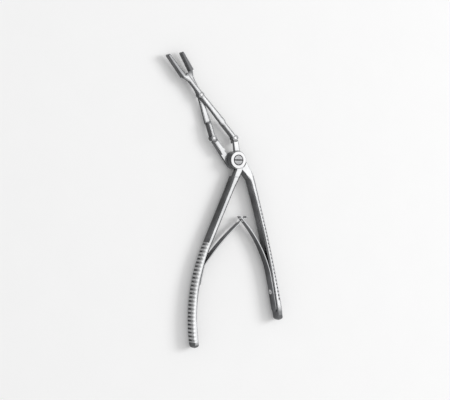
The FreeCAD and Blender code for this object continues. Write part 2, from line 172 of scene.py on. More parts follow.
def scaled(tone, share=1.0):
    """A tone times a share, with the fourth number that a colour socket wants."""
    return tuple(share * part for part in tone) + (1.0,)


print("half of a tone:", scaled((0.6, 0.6, 0.6), 0.5))

# %% Places on a piece, and the sockets of a group
def texture_place(tree):
    """Where the shaded point is. Object coordinates stay with the piece when it moves."""
    return add_node(tree, "ShaderNodeTexCoord", {}).outputs


def add_socket(group, name, direction, kind="NodeSocketFloat", value=None):
    socket = group.interface.new_socket(name=name, in_out=direction, socket_type=kind)
    if value is not None:
        socket.default_value = value


def sockets(group, direction):
    return [item.name for item in group.interface.items_tree if item.in_out == direction]


print("an input of a group is a number, unless it is made a vector or a colour")

# %% [markdown]
# ## What polished instrument steel does
# Such steel is ground, then buffed. Buffing leaves very fine lines along the piece, slow clouds in the
# polish where hands and trays have dulled it, and a few stray hairline marks. The group also finds
# the flat upward faces and a narrow band along each edge, so that the sides and the edges can be
# darkened with painted shade. A picture of scratches could be wrapped on, but noise stays sharp
# from near and needs no unwrapping. All the steels here need these, so they are made once, as a
# node group that gives masks and a height.

# %% Measures of the buffing
HAIRLINE_WIDTH = 0.02
WORN_CLOUD = (0.52, 0.66)
FLAT_FACE = (0.78, 0.95)
EDGE_AGREEMENT, EDGE_SAMPLES = (0.9992, 0.98), 6
LINE_DETAIL, CLOUD_DETAIL, CLOUD_ROUGHNESS = 3.0, 4.0, 0.55
print("a face counts as flat from an upward share of", FLAT_FACE[0])

# %% Lines, clouds and marks of the buffing
def buffed_texture(tree, place, entry):
    """The fine lines, the slow clouds and the hairline marks, which show in worn clouds only."""
    stretched = vector(tree, "MULTIPLY", place, entry["Line direction"])["Vector"]
    lines = add_node(tree, "ShaderNodeTexNoise", {
        "Vector": stretched, "Scale": entry["Line scale"], "Detail": LINE_DETAIL}).outputs["Fac"]
    clouds = add_node(tree, "ShaderNodeTexNoise", {
        "Vector": place, "Scale": entry["Cloud scale"], "Detail": CLOUD_DETAIL,
        "Roughness": CLOUD_ROUGHNESS}).outputs["Fac"]
    to_cell_edge = add_node(tree, "ShaderNodeTexVoronoi", {
        "Vector": place, "Scale": entry["Mark scale"]}, feature="DISTANCE_TO_EDGE").outputs["Distance"]
    hairlines = fade(tree, to_cell_edge, 0.0, HAIRLINE_WIDTH, 1.0, 0.0)
    marks = compute(tree, "MULTIPLY", hairlines, fade(tree, clouds, *WORN_CLOUD))
    return lines, clouds, marks


print("hairline marks show where the clouds pass", WORN_CLOUD[0])

# %% Flat faces and edges
def flat_faces(tree, normal):
    upright = add_node(tree, "ShaderNodeSeparateXYZ", {"Vector": normal}).outputs["Z"]
    return fade(tree, compute(tree, "ABSOLUTE", upright), *FLAT_FACE)


def edge_band(tree, width):
    """Finds edges: near one, the Bevel node's normal no longer agrees with the face's own."""
    rounded = add_node(tree, "ShaderNodeBevel", {"Radius": width}, samples=EDGE_SAMPLES)
    face = add_node(tree, "ShaderNodeNewGeometry", {})
    normals = (rounded.outputs["Normal"], face.outputs["True Normal"])
    agreement = vector(tree, "DOT_PRODUCT", *normals)["Value"]
    return fade(tree, agreement, *EDGE_AGREEMENT, curve="SMOOTHSTEP")


print("an edge shows below an agreement of", EDGE_AGREEMENT[0])

# %% Node group for the buffed surface and its shade masks
ALONG, ROUND = (1.0, 0.06, 1.0), (1.0, 1.0, 1.0)
FINE_LINES, TURNED_LINES, CLOUDS, MARKS = 2600.0, 1400.0, 60.0, 240.0
EDGE = 0.5 * MM


def build_buffing():
    group = bpy.data.node_groups.new("Buffing and shade masks", "ShaderNodeTree")
    add_socket(group, "Line direction", "INPUT", "NodeSocketVector", ALONG)
    for name, value in (("Line scale", FINE_LINES), ("Cloud scale", CLOUDS), ("Mark scale", MARKS),
                        ("Edge width", EDGE)):
        add_socket(group, name, "INPUT", value=value)
    for name in ("Lines", "Clouds", "Marks", "Height", "Flats", "Edges"):
        add_socket(group, name, "OUTPUT")
    entry = add_node(group, "NodeGroupInput", {}).outputs
    place = texture_place(group)
    lines, clouds, marks = buffed_texture(group, place["Object"], entry)
    add_node(group, "NodeGroupOutput", {
        "Lines": lines, "Clouds": clouds, "Marks": marks,
        "Height": compute(group, "SUBTRACT", lines, marks),
        "Flats": flat_faces(group, place["Normal"]),
        "Edges": edge_band(group, entry["Edge width"]),
    })
    return group


buffing = build_buffing()
print("buffing gives:", sockets(buffing, "OUTPUT"))

# %% [markdown]
# ## One recipe for every steel
# A steel mixes two close tones by the clouds on its flat faces. Its sides get a darker tone, which is
# painted shade, and the band along the edges gets darker painted shade still. The marks leave a thin
# stain. It dulls where the polish is worn, and takes a very shallow bump from the buffing lines. Each
# piece could have its nodes to itself, but with one recipe all the steels stay of one kind. What
# doesn't change over the surface, such as Metallic, stays on the shader's own socket.

# %% Shares and limits of the recipe
CLOUD_TONES, SIDE_CLOUDS = (0.3, 0.7), (0.35, 0.65)
SIDE_SHADE_LOW, SIDE_SHADE_HIGH = 0.5, 1.4
EDGE_SHADE_SHARE, STAIN_SHARE = 0.7, 0.72
LINE_SHARE, POLISH_LIMITS = 0.35, (0.45, 0.95)
BUMP_STRENGTH, BUMP_HEIGHT = 0.35, 0.01 * MM
print("side tones run from", SIDE_SHADE_LOW, "to", SIDE_SHADE_HIGH, "of the written tone")

# %% Colour of a steel
def steel_colour(tree, masks, deep, bright, side):
    flat = two_tones(tree, masks["Clouds"], CLOUD_TONES[0], scaled(deep),
                     CLOUD_TONES[1], scaled(bright))
    # Painted shade: faces that are not flat and upward take the darker side tone.
    shaded_sides = two_tones(tree, masks["Clouds"], SIDE_CLOUDS[0], scaled(side, SIDE_SHADE_LOW),
                      SIDE_CLOUDS[1], scaled(side, SIDE_SHADE_HIGH))
    faces = mix_colour(tree, masks["Flats"], shaded_sides, flat)
    # Painted shade along the edges.
    edge_shaded = mix_colour(tree, masks["Edges"], faces, scaled(side, EDGE_SHADE_SHARE))
    return mix_colour(tree, masks["Marks"], edge_shaded, scaled(deep, STAIN_SHARE))


print("the rim has", EDGE_SHADE_SHARE, "of the side tone, a stain", STAIN_SHARE, "of the deep tone")

# %% A steel from its tones and a range of roughness
def steel(name, tones, roughness, direction, lines=FINE_LINES, edge=EDGE):
    material = bpy.data.materials.new(name)
    material.use_nodes = True
    tree = material.node_tree
    shader = tree.nodes["Principled BSDF"]
    shader.inputs["Metallic"].default_value = 1.0
    surface = {"Line direction": direction, "Line scale": lines, "Edge width": edge}
    masks = add_node(tree, "ShaderNodeGroup", surface, node_tree=buffing, name="Buffing").outputs
    tree.links.new(steel_colour(tree, masks, *tones), shader.inputs["Base Color"])
    wear = compute(tree, "MULTIPLY_ADD", masks["Lines"], LINE_SHARE, masks["Clouds"])
    tree.links.new(fade(tree, wear, *POLISH_LIMITS, *roughness), shader.inputs["Roughness"])
    relief = {"Strength": BUMP_STRENGTH, "Distance": BUMP_HEIGHT, "Height": masks["Height"]}
    bump = add_node(tree, "ShaderNodeBump", relief)
    tree.links.new(bump.outputs["Normal"], shader.inputs["Normal"])
    return material


print("roughness runs over a wear of", POLISH_LIMITS)

# %% [markdown]
# ## The steels of the forceps
# The grips and jaws are bright on their flats, and their sides take the third tone, which is painted
# shade. Each has a steel of its own, because grooves, blades and edges are shaded by place further
# on. The springs are hardened strip, which stays greyer and duller. The ring, nut and pins are turned,
# so their lines run round. The pivot screw has darkened in patches, and the two small spring screws
# carry a painted highlight.

# %% Steels of grips and jaws
# The third tone of every steel here is the painted shade of its sides.
FLAT_TONES = ((0.42, 0.424, 0.43), (0.6, 0.604, 0.61))
GRIP_TONES = (*FLAT_TONES, (0.15, 0.152, 0.157))
JAW_TONES = (*FLAT_TONES, (0.14, 0.142, 0.147))
GRIP_ROUGHNESS, JAW_ROUGHNESS = (0.14, 0.3), (0.12, 0.28)
LEFT_EDGE, RIGHT_EDGE, SHOULDER_EDGE, JAW_EDGE = 0.9 * MM, 1.4 * MM, 0.4 * MM, 1.8 * MM
left_grip_steel = steel("Left grip steel", GRIP_TONES, GRIP_ROUGHNESS, ALONG, edge=LEFT_EDGE)
right_grip_steel = steel("Right grip steel", GRIP_TONES, GRIP_ROUGHNESS, ALONG, edge=RIGHT_EDGE)
shoulder_steel = steel("Shoulder steel", GRIP_TONES, GRIP_ROUGHNESS, ALONG, edge=SHOULDER_EDGE)
long_jaw_steel = steel("Long jaw steel", JAW_TONES, JAW_ROUGHNESS, ALONG, edge=JAW_EDGE)
short_jaw_steel = steel("Short jaw steel", JAW_TONES, JAW_ROUGHNESS, ALONG, edge=JAW_EDGE)
print("materials:", [item.name for item in bpy.data.materials])

# %% Steels of springs, screws and turned pieces
SPRING_TONES = ((0.3, 0.303, 0.31), (0.4, 0.404, 0.41), (0.15, 0.153, 0.16))
TURNED_TONES = ((0.48, 0.48, 0.485), (0.62, 0.62, 0.625), (0.2, 0.2, 0.205))
SCREW_TONES = ((0.1, 0.101, 0.104), (0.46, 0.462, 0.468), (0.1, 0.1, 0.103))
# The spring screws' tones are raised into a painted highlight, most of all on their sides.
HIGHLIGHT_TONES = ((0.6, 0.6, 0.605), (0.75, 0.75, 0.755), (0.7, 0.7, 0.705))
SPRING_EDGE, TURNED_EDGE, BRIGHT_EDGE = 0.15 * MM, 0.12 * MM, 0.1 * MM
spring_steel = steel("Spring steel", SPRING_TONES, (0.24, 0.38), ALONG, edge=SPRING_EDGE)
turned_steel = steel("Turned steel", TURNED_TONES, (0.12, 0.26), ROUND, TURNED_LINES, TURNED_EDGE)
screw_steel = steel("Screw steel", SCREW_TONES, (0.2, 0.36), ROUND, TURNED_LINES, TURNED_EDGE)
highlighted_screw_steel = steel("Highlighted screw steel", HIGHLIGHT_TONES, (0.16, 0.3), ROUND, TURNED_LINES,
                           BRIGHT_EDGE)
print("materials:", [item.name for item in bpy.data.materials])

# %% [markdown]
# ## Grooves of the grips
# The outside of each grip has cross grooves for a firm hold. The construction model has them cut,
# so only their colour is missing: the hollows get painted shade, and the lands between them a painted
# highlight. Each hollow could be painted by hand, but they repeat evenly along the grip's curve. So the
# mask measures the angle about the centre of that curve, and counts grooves by it. On the left grip
# the painted shade fades towards the upper ends of the hollows, and Top share says how dark they stay.

# %% Measures of the grips, in millimetres
GROOVES, GROOVE_PITCH, GROOVE_DEPTH = 26, 2.6, 1.7
GRIPS = {
    "left": {"centre": (85.107, -106.519), "radius": 118.0, "sense": -1.0,
             "start": (107.107, -49.519), "first": 0.5, "pitch": GROOVE_PITCH},
    "right": {"centre": (-657.349, -221.415), "radius": 700.0, "sense": 1.0,
              "start": (672.749, 193.415), "first": -4.0, "pitch": -GROOVE_PITCH},
}
HOLLOW_SHARE = (0.3, 0.16)
ZONE_END, SIDE_BLEND = (0.6, 0.4), 0.3
SHADE_FREE_HEIGHT, SHADE_FADE_REACH = 7.8, (1.6, 4.8)
HOLLOW_SHADE_TONE = (0.06, 0.061, 0.063, 1)
print("each grip has", GROOVES, "grooves,", GROOVE_PITCH, "mm apart")

# %% Where on the grip's curve a point is
def around_centre(tree, entry):
    """The point's angle and distance about the centre of the grip's curve, and its height."""
    arm = vector(tree, "SUBTRACT", texture_place(tree)["Object"], entry["Centre"])["Vector"]
    split = add_node(tree, "ShaderNodeSeparateXYZ", {"Vector": arm}).outputs
    across = compute(tree, "MULTIPLY", split["X"], entry["Sense"])
    along = compute(tree, "MULTIPLY", split["Y"], entry["Sense"])
    squares = compute(tree, "ADD", compute(tree, "MULTIPLY", across, across),
                      compute(tree, "MULTIPLY", along, along))
    return compute(tree, "ARCTAN2", along, across), compute(tree, "SQRT", squares), split["Z"]


print("centres of the grips' curves, in mm:", GRIPS["left"]["centre"], GRIPS["right"]["centre"])

# %% Which groove it is in, and how dark that is
def ease(tree, value, low, high):
    return fade(tree, value, low, high, curve="SMOOTHSTEP")


def groove_masks(tree, entry, angle, distance, height):
    turned = compute(tree, "SUBTRACT", angle, entry["First angle"])
    count = compute(tree, "DIVIDE", turned, entry["Angle step"])
    nearest = compute(tree, "ROUND", count)
    off_centre = compute(tree, "ABSOLUTE", compute(tree, "SUBTRACT", count, nearest))
    hollow = ease(tree, off_centre, *HOLLOW_SHARE)
    begun = ease(tree, count, -ZONE_END[0], -ZONE_END[1])
    ended = ease(tree, count, GROOVES - ZONE_END[1], GROOVES - ZONE_END[0])
    depth = compute(tree, "SUBTRACT", distance, entry["Face radius"])
    outside = ease(tree, depth, -GROOVE_DEPTH * MM, (SIDE_BLEND - GROOVE_DEPTH) * MM)
    zone = compute(tree, "MULTIPLY", compute(tree, "MULTIPLY", begun, ended), outside)
    # Painted shade: the hollows are darker further down from the top, towards the table.
    from_top = compute(tree, "ABSOLUTE", compute(tree, "SUBTRACT", height, SHADE_FREE_HEIGHT * MM))
    lower = ease(tree, from_top, SHADE_FADE_REACH[0] * MM, SHADE_FADE_REACH[1] * MM)
    rest = compute(tree, "SUBTRACT", 1.0, entry["Top share"])
    shade = compute(tree, "MULTIPLY_ADD", lower, rest, entry["Top share"])
    dark = compute(tree, "MULTIPLY", hollow, shade)
    lands = compute(tree, "MULTIPLY", compute(tree, "SUBTRACT", 1.0, dark), zone)
    return compute(tree, "MULTIPLY", dark, zone), lands


print("a hollow is fully dark within", HOLLOW_SHARE[1], "of a pitch from its middle")

# %% Node group that finds the groove hollows
def build_groove_mask():
    group = bpy.data.node_groups.new("Groove hollows", "ShaderNodeTree")
    add_socket(group, "Centre", "INPUT", "NodeSocketVector", (0, 0, 0))
    for name in ("Sense", "First angle", "Angle step", "Face radius", "Top share"):
        add_socket(group, name, "INPUT", value=1.0)
    for name in ("Hollows", "Lands"):
        add_socket(group, name, "OUTPUT")
    entry = add_node(group, "NodeGroupInput", {}).outputs
    hollows, lands = groove_masks(group, entry, *around_centre(group, entry))
    add_node(group, "NodeGroupOutput", {"Hollows": hollows, "Lands": lands})
    return group


groove_mask = build_groove_mask()
print("groove mask inputs:", sockets(groove_mask, "INPUT"))

# %% Shade the grooves of both grips
def paint_over(material, mask, tone):
    """Lays a tone over the material's colour where the mask is 1."""
    colour = material.node_tree.nodes["Principled BSDF"].inputs["Base Color"]
    layered = mix_colour(material.node_tree, mask, colour.links[0].from_socket, tone)
    material.node_tree.links.new(layered, colour)


def shade_grooves(material, grip, top_share, land_highlight_tone):
    start, radius = grip["start"], grip["radius"]
    grooves = add_node(material.node_tree, "ShaderNodeGroup", {
        "Centre": (grip["centre"][0] * MM, grip["centre"][1] * MM, 0),
        "Sense": grip["sense"],
        "First angle": math.atan2(start[1], start[0]) + grip["first"] / radius,
        "Angle step": grip["pitch"] / radius,
        "Face radius": (radius + GROOVE_DEPTH) * MM,
        "Top share": top_share,
    }, node_tree=groove_mask).outputs
    # Painted highlight on the lands, painted shade in the hollows.
    paint_over(material, grooves["Lands"], land_highlight_tone)
    paint_over(material, grooves["Hollows"], HOLLOW_SHADE_TONE)


shade_grooves(left_grip_steel, GRIPS["left"], 0.2, (0.6, 0.604, 0.61, 1))
shade_grooves(right_grip_steel, GRIPS["right"], 1.0, (0.34, 0.343, 0.35, 1))
print("grooves shaded on both grips")

# %% [markdown]
# ## Painted shade on the blades, a tip and the screw slot
# The flat faces of the jaws' gripping ends get painted shade, stronger on the short jaw. The right
# grip's tip gets painted shade too, and the slot of the pivot screw a painted dark shadow. Faces could
# be given a material of their own, but then the change of tone would be a hard line. All these depend
# on one distance only, along the instrument or upwards, so one small helper fades them in.

# %% Shade a material beyond a place
BLADES, RIGHT_TIP, SLOT_FLOOR = ("Y", 55.0, 58.5), ("Y", -99.0, -104.0), ("Z", 8.85, 8.7)
LONG_BLADE_SHADE, SHORT_BLADE_SHADE = (0.27, 0.273, 0.28, 1), (0.12, 0.122, 0.126, 1)
TIP_SHADE, SLOT_SHADOW = (0.15, 0.152, 0.157, 1), (0.02, 0.02, 0.021, 1)


def beyond(material, axis, begins, full):
    tree = material.node_tree
    place = texture_place(tree)["Object"]
    split = add_node(tree, "ShaderNodeSeparateXYZ", {"Vector": place}).outputs
    return fade(tree, split[axis], begins * MM, full * MM)


# Painted shade on the flat faces of the blades.
for material, tone in ((long_jaw_steel, LONG_BLADE_SHADE), (short_jaw_steel, SHORT_BLADE_SHADE)):
    flats = material.node_tree.nodes["Buffing"].outputs["Flats"]
    on_blade = compute(material.node_tree, "MULTIPLY", beyond(material, *BLADES), flats)
    paint_over(material, on_blade, tone)
# Painted shadow in the screw slot, and painted shade at the right grip's tip.
paint_over(screw_steel, beyond(screw_steel, *SLOT_FLOOR), SLOT_SHADOW)
paint_over(right_grip_steel, beyond(right_grip_steel, *RIGHT_TIP), TIP_SHADE)
print("blades, right tip and screw slot shaded")

# %% [markdown]
# ## Which steel goes where
# The grips and jaws come over from the construction model with the right shape, so they only take
# their steel. The same goes for the ring, screws, nut and pins.

# %% Give the loaded pieces their steel
FINISHES = {
    "left_handle": left_grip_steel, "right_handle": right_grip_steel,
    "long_jaw": long_jaw_steel, "short_jaw": short_jaw_steel,
    "pivot_collar": turned_steel, "pivot_screw": screw_steel, "pivot_nut": turned_steel,
    "left_spring_screw": highlighted_screw_steel, "right_spring_screw": highlighted_screw_steel,
    "long_jaw_pin": turned_steel, "short_jaw_pin": turned_steel, "jaw_pin": turned_steel,
}


def coat(piece, material):
    piece.data.materials.clear()
    piece.data.materials.append(material)


for node, material in FINISHES.items():
    coat(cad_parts[node], material)
print("coated:", len(FINISHES))

# %% [markdown]
# ## The shoulder beside the ring
# The right handle keeps its full height right up to the pivot ring, where a curved notch lets the
# other handle turn. The construction model stops that upper half further out. The shoulder could be
# drawn point by point, but a disc has both curves from the start: three bisect cuts trim it to the
# neck, and a Boolean takes out the curved notch. A bevel breaks its edges. Its top lies just below
# the handle's, so its outer rim is out of sight.

# %% Measures of the shoulder, in millimetres
NECK_LEFT_EDGE = ((2.30, -5.76), (6.44, -9.65))
NECK_RIGHT_EDGE = ((6.16, -0.73), (9.67, -6.41))
LEFT_INSET, RIGHT_INSET = 0.12, 0.03
PAST_THE_PIVOT = (-0.65, 0.76)
SHOULDER_LOW, SHOULDER_TOP, SHOULDER_REACH = 4.32, 8.09, 12.1
NOTCH_RADIUS = 6.45
print("shoulder reaches from", NOTCH_RADIUS, "to", SHOULDER_REACH, "mm")

# %% A disc, and a straight cut
def disc(name, radius, low, high, points=96):
    leave_all()
    bpy.ops.mesh.primitive_cylinder_add(vertices=points, radius=radius * MM, depth=(high - low) * MM,
                                        location=(0, 0, (low + high) / 2 * MM))
    piece = bpy.context.object
    piece.name = piece.data.name = name
    bpy.ops.object.transform_apply(location=True, rotation=True, scale=True)
    return piece


def trim(piece, point, outward):
    """Cuts away what lies on the outward side of an upright plane, and closes the cut."""
    edit_all(piece)
    bpy.ops.mesh.bisect(plane_co=(point[0] * MM, point[1] * MM, 0),
                        plane_no=(outward[0], outward[1], 0),
                        use_fill=True, clear_outer=True, clear_inner=False)
    bpy.ops.object.mode_set(mode="OBJECT")


shoulder = disc("right_shoulder", SHOULDER_REACH, SHOULDER_LOW, SHOULDER_TOP)
trim(shoulder, (0, 0), PAST_THE_PIVOT)
for edge_line, inset, side in ((NECK_LEFT_EDGE, LEFT_INSET, 1), (NECK_RIGHT_EDGE, RIGHT_INSET, -1)):
    start, end = edge_line
    along = (Vector(end) - Vector(start)).normalized()
    outward = Vector((along.y, -along.x)) * side
    trim(shoulder, Vector(start) - outward * inset, outward)
print("trimmed to the neck:", span(shoulder))

# %% The notch and soft edges
SMOOTH_UP_TO = 20
SHOULDER_BEVEL, SHOULDER_SHARP = 0.04, 40


def soften(piece, width, sharp):
    """Bevels the edges that are sharper than the given angle. Only gentle curves stay smooth."""
    apply_modifier(piece, "BEVEL", width=width * MM, segments=2, limit_method="ANGLE",
                   angle_limit=math.radians(sharp))
    work_on(piece)
    bpy.ops.object.shade_smooth_by_angle(angle=math.radians(SMOOTH_UP_TO))


notch = disc("notch_cutter", NOTCH_RADIUS, SHOULDER_LOW - 1, SHOULDER_TOP + 1)
apply_modifier(shoulder, "BOOLEAN", operation="DIFFERENCE", object=notch, solver="EXACT")
bpy.data.objects.remove(notch)
soften(shoulder, SHOULDER_BEVEL, SHOULDER_SHARP)
coat(shoulder, shoulder_steel)
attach(shoulder, "right_handle")
print("shoulder faces:", len(shoulder.data.polygons), "span", span(shoulder))

# %% [markdown]
# ## One surface from grip to shoulder
# The painted edge shade would draw a dark line where the grip runs on into the shoulder. Two pieces
# that meet could be joined, but a loaded piece's mesh is never changed. So the painted shade along the
# right grip's edges fades out before the place where the two meet, and no line shows there.

# %% Fade the painted edge shade towards the pivot
BAND_NONE_AT, BAND_FULL_AT = 11.8 * MM, 14.6 * MM
grip_tree = right_grip_steel.node_tree
level = vector(grip_tree, "MULTIPLY", texture_place(grip_tree)["Object"], (1, 1, 0))["Vector"]
reach = vector(grip_tree, "LENGTH", level)["Value"]
band = fade(grip_tree, reach, BAND_NONE_AT, BAND_FULL_AT, 0.0, RIGHT_EDGE)
grip_tree.links.new(band, grip_tree.nodes["Buffing"].inputs["Edge width"])
print("the edge band is full from", BAND_FULL_AT, "m on")

# %% [markdown]
# ## The leaf springs
# Each spring is one strip of hardened steel. Its foot lies along the inside of a grip under a small
# screw, and its leaf bows out to meet the other spring. A strip like this is the path of a short
# upright line, so the line is swept twice with the Spin tool: about the centre of the grip's curve
# for the foot, and about the centre of the leaf's bow for the leaf. The sheet then gets its
# thickness from a modifier.

# %% Measures of the springs, in millimetres
MID = 4.4
WIDTH, TIP_WIDTH, THICKNESS = 6.6, 4.4, 0.8
CROSSING, TAPER_END = (4.9, -40.6), -34.2
TONGUE, SLOT = 1.0, 1.3
SPRINGS = {
    "left": {"root": (-25.083, -70.685), "foot_turn": 7.2834, "foot_steps": 30,
             "leaf_centre": (103.504, -168.853), "leaf_turn": -16.2198, "leaf_steps": 56,
             "inner": TONGUE},
    "right": {"root": (25.404, -76.947), "foot_turn": -2.2918, "foot_steps": 56,
              "leaf_centre": (-56.639, -99.273), "leaf_turn": 30.5676, "leaf_steps": 45,
              "inner": SLOT},
}
print("springs cross at", CROSSING)

# %% [markdown]
# ## The upright line that starts a spring
# The line starts as a plane whose corners are merged into one point, and the point is extruded
# upwards three times. The two middle points mark where the tongue or the slot will be.

# %% An upright line at the root of each spring
def upright_line(name, root, inner):
    leave_all()
    bottom = MID - WIDTH / 2
    bpy.ops.mesh.primitive_plane_add(size=MM, location=(root[0] * MM, root[1] * MM, bottom * MM))
    piece = bpy.context.object
    piece.name = piece.data.name = name
    bpy.ops.object.transform_apply(location=True, rotation=True, scale=True)
    bpy.ops.object.mode_set(mode="EDIT")
    bpy.ops.mesh.select_mode(type="VERT")
    bpy.ops.mesh.select_all(action="SELECT")
    bpy.ops.mesh.merge(type="CENTER")
    for step in (WIDTH / 2 - inner, 2 * inner, WIDTH / 2 - inner):
        bpy.ops.mesh.extrude_region_move(TRANSFORM_OT_translate={"value": (0, 0, step * MM)})
    bpy.ops.object.mode_set(mode="OBJECT")
    return piece


strips = {side: upright_line(side + "_leaf_spring", plan["root"], plan["inner"])
          for side, plan in SPRINGS.items()}
print("heights in mm:", sorted(round(v.co.z / MM, 2) for v in strips["left"].data.vertices))

# %% [markdown]
# ## Sweeping foot and leaf
# Spin turns the selected line about an upright axis and leaves a face behind at every step. It
# counts its angle clockwise. Extruding would need a move for each step, and Spin takes the arc in
# one. The foot keeps the curve of the grip. The root line is picked again and swept the other way
# for the leaf, in steps short enough for the tongue and the slot.

# %% Sweep a line about a centre
SAME_PLACE, SAME_ROW = 0.05, 0.02


def turned_about(point, centre, degrees):
    arm = Vector((point[0] - centre[0], point[1] - centre[1]))
    angle = math.radians(degrees)
    return (centre[0] + math.cos(angle) * arm.x - math.sin(angle) * arm.y,
            centre[1] + math.sin(angle) * arm.x + math.cos(angle) * arm.y)


def plan_distance(vertex, place):
    return math.dist((vertex.co.x / MM, vertex.co.y / MM), place)


def sweep(piece, start, centre, degrees, steps):
    pick(piece, "VERT", lambda vertex: plan_distance(vertex, start) < SAME_PLACE)
    bpy.ops.mesh.spin(steps=steps, angle=-math.radians(degrees), axis=(0, 0, 1),
                      center=(centre[0] * MM, centre[1] * MM, 0))
    bpy.ops.object.mode_set(mode="OBJECT")
    return turned_about(start, centre, degrees)


foot_ends, leaf_ends = {}, {}
for side, plan in SPRINGS.items():
    strip, root = strips[side], plan["root"]
    foot_ends[side] = sweep(strip, root, GRIPS[side]["centre"], plan["foot_turn"], plan["foot_steps"])
    leaf_ends[side] = sweep(strip, root, plan["leaf_centre"], plan["leaf_turn"], plan["leaf_steps"])
    for part, end in (("foot", foot_ends[side]), ("leaf", leaf_ends[side])):
        gap = min(plan_distance(vertex, end) for vertex in strip.data.vertices)
        print(side, part, "ends within", round(gap, 3), "mm of the plan")

# %% [markdown]
# ## Taper and round foot
# The real leaves get narrower towards the crossing, and the foot has a round end. Both could be cut
# from a wide strip, but then the cuts would run across its faces. Here each upright row is resized
# about the middle height, so the faces stay even, and the later bevel runs along clean edges.

# %% Narrow the strips row by row
def rows(piece, wanted):
    """The plan places of the upright rows of the strip for which wanted is true."""
    places = {(round(v.co.x / MM, 2), round(v.co.y / MM, 2)) for v in piece.data.vertices}
    return sorted(place for place in places if wanted(place))


def narrow(piece, place, factor, beyond_middle=0.0):
    pick(piece, "VERT", lambda vertex: plan_distance(vertex, place) < SAME_ROW
         and abs(vertex.co.z / MM - MID) > beyond_middle)
    bpy.ops.transform.resize(value=(1, 1, factor), center_override=(0, 0, MID * MM))
    bpy.ops.object.mode_set(mode="OBJECT")


PAST_ROOT, CLEAR_OF_INNER, SMALLEST_ROW = 0.1, 0.1, 0.2
half = WIDTH / 2
for side, strip in strips.items():
    root, foot_end = SPRINGS[side]["root"], foot_ends[side]
    for place in rows(strip, lambda place: place[1] > root[1] + PAST_ROOT):
        share = (place[1] - root[1]) / (TAPER_END - root[1])
        narrow(strip, place, 1 - share * (WIDTH - TIP_WIDTH) / WIDTH,
               SPRINGS[side]["inner"] + CLEAR_OF_INNER)
    for place in rows(strip, lambda place: math.dist(place, foot_end) < half and place[1] < root[1]):
        reach = half - math.dist(place, foot_end)
        narrow(strip, place, max(SMALLEST_ROW, math.sqrt(max(0.0, 1 - (reach / half) ** 2))))
    print(side, "rows in the strip:", len(rows(strip, lambda place: True)))

# %% [markdown]
# ## Tongue and slot
# At the crossing the left leaf is cut to a tongue that passes through a slot in the right one, and
# the two pull on each other when the grips close. A Boolean could cut both, but the strips already
# have edges at the tongue's and the slot's height, so the faces that lie there are just deleted.

# %% Cut the tongue and the slot
TONGUE_LENGTH, SLOT_LENGTH = 3.5, 2.1


def drop_faces(piece, reach, wanted):
    """Deletes the faces near the crossing whose height above or below the middle is wanted."""
    pick(piece, "FACE", lambda face: wanted(abs(face.center.z / MM - MID))
         and math.dist((face.center.x / MM, face.center.y / MM), CROSSING) < reach)
    bpy.ops.mesh.delete(type="FACE")
    bpy.ops.object.mode_set(mode="OBJECT")


drop_faces(strips["left"], TONGUE_LENGTH, lambda height: height > TONGUE)
drop_faces(strips["right"], SLOT_LENGTH, lambda height: height < SLOT)
for side, strip in strips.items():
    print(side, "faces left:", len(strip.data.polygons))

# %% [markdown]
# ## Thickness and soft edges
# Solidify gives the sheet its thickness, half to each side, so the strip needs only one sheet of
# faces until here. A narrow bevel breaks the sharp edges, as tumbling does to real springs.

# %% Thicken the strips
STRIP_BEVEL, STRIP_SHARP = 0.12, 35
for side, strip in strips.items():
    apply_modifier(strip, "SOLIDIFY", thickness=THICKNESS * MM, offset=0.0)
    edit_all(strip)
    bpy.ops.mesh.normals_make_consistent(inside=False)
    bpy.ops.object.mode_set(mode="OBJECT")
    soften(strip, STRIP_BEVEL, STRIP_SHARP)
    print(side, "faces:", len(strip.data.polygons))

# %% [markdown]
# ## The hook bar
# The tongue ends in a small cross bar that keeps it in the slot. The end of the tongue could be
# widened instead, but in the photograph a small round bar lies across it. So it is a thin upright
# cylinder whose end faces are inset and drawn out a little, and then it is joined to the strip.

# %% Model the hook bar and join it to the tongue
HOOK_RADIUS, HOOK_INSET, HOOK_DOME, HOOK_BEVEL = 0.6, 0.22, 1.1, 0.08
HOOK_LENGTH, HOOK_POINTS, END_FACE = TIP_WIDTH - 0.4, 24, 0.9
leave_all()
hook_x, hook_y = leaf_ends["left"]
hook_centre = (hook_x * MM, hook_y * MM, MID * MM)
bpy.ops.mesh.primitive_cylinder_add(vertices=HOOK_POINTS, radius=HOOK_RADIUS * MM,
                                    depth=HOOK_LENGTH * MM, location=hook_centre)
hook_bar = bpy.context.object
hook_bar.name = "hook_bar"
bpy.ops.object.transform_apply(location=True, rotation=True, scale=True)
pick(hook_bar, "FACE", lambda face: abs(face.normal.z) > END_FACE)
bpy.ops.mesh.inset(thickness=HOOK_INSET * MM)
bpy.ops.transform.resize(value=(1, 1, HOOK_DOME), center_override=hook_centre)
bpy.ops.object.mode_set(mode="OBJECT")
soften(hook_bar, HOOK_BEVEL, STRIP_SHARP)
work_on(strips["left"])
hook_bar.select_set(True)
bpy.ops.object.join()
for side, strip in strips.items():
    print(side, "spring spans", span(strip))

# %% [markdown]
# ## The springs in place of the loaded ones
# Each strip follows its own grip at the foot and bends towards the other grip along the leaf. Each
# gets the spring steel, its place is baked into its mesh, and the loaded spring that it replaces is
# hidden.

# %% Put the springs in place of the loaded ones
for side, other in (("left", "right"), ("right", "left")):
    strip = strips[side]
    coat(strip, spring_steel)
    root = Vector((*SPRINGS[side]["root"], MID))
    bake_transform(strip)
    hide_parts(side + "_spring")
    print(strip.name, "replaces", side + "_spring")

# %% [markdown]
# ## The table
# A plain pale table top lies just under the instrument. The background could be pure white, as if
# the forceps were cut out, but then they would float. So it is an ordinary dull surface that keeps
# the soft shadow, and the steel shows that shadow on its lower sides.

